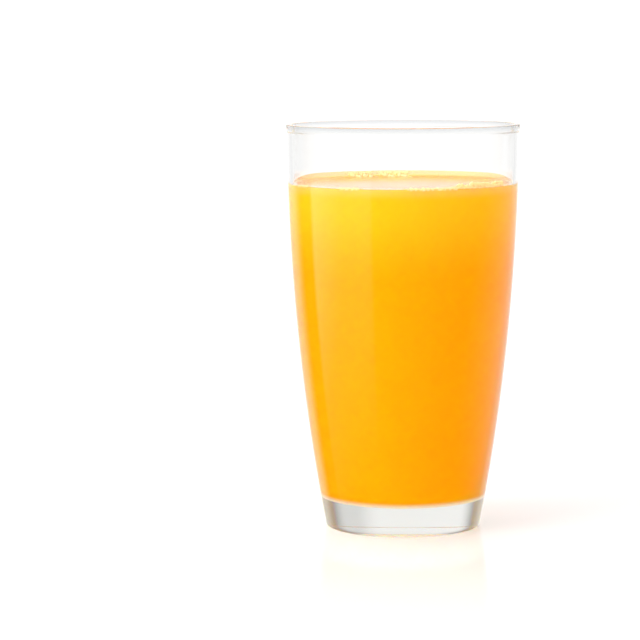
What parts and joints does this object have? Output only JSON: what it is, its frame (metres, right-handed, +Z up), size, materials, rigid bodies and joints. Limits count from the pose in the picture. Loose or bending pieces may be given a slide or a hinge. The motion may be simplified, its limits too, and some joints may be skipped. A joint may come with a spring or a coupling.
{
  "type": "glass of orange juice",
  "caption": "Tall clear tumbler with bowed tapering sides, rounded lip and thick base, filled with opaque orange juice to a little below the rim, with froth along the wall.",
  "frame": {"origin": "middle of the ring that the glass stands on, at table height", "axes": "+Z up along the axis of the glass; -Y faces the viewer of the picture and +X is to the viewer's right"},
  "size_m": [0.084, 0.084, 0.1456],
  "materials": {
    "clear_glass": "polished clear soda-lime glass",
    "orange_juice": "wet, smooth, cloudy yellow-orange liquid"
  },
  "bodies": {
    "root": {"tumbler": "clear_glass", "juice": "orange_juice"}
  },
  "joints": []
}
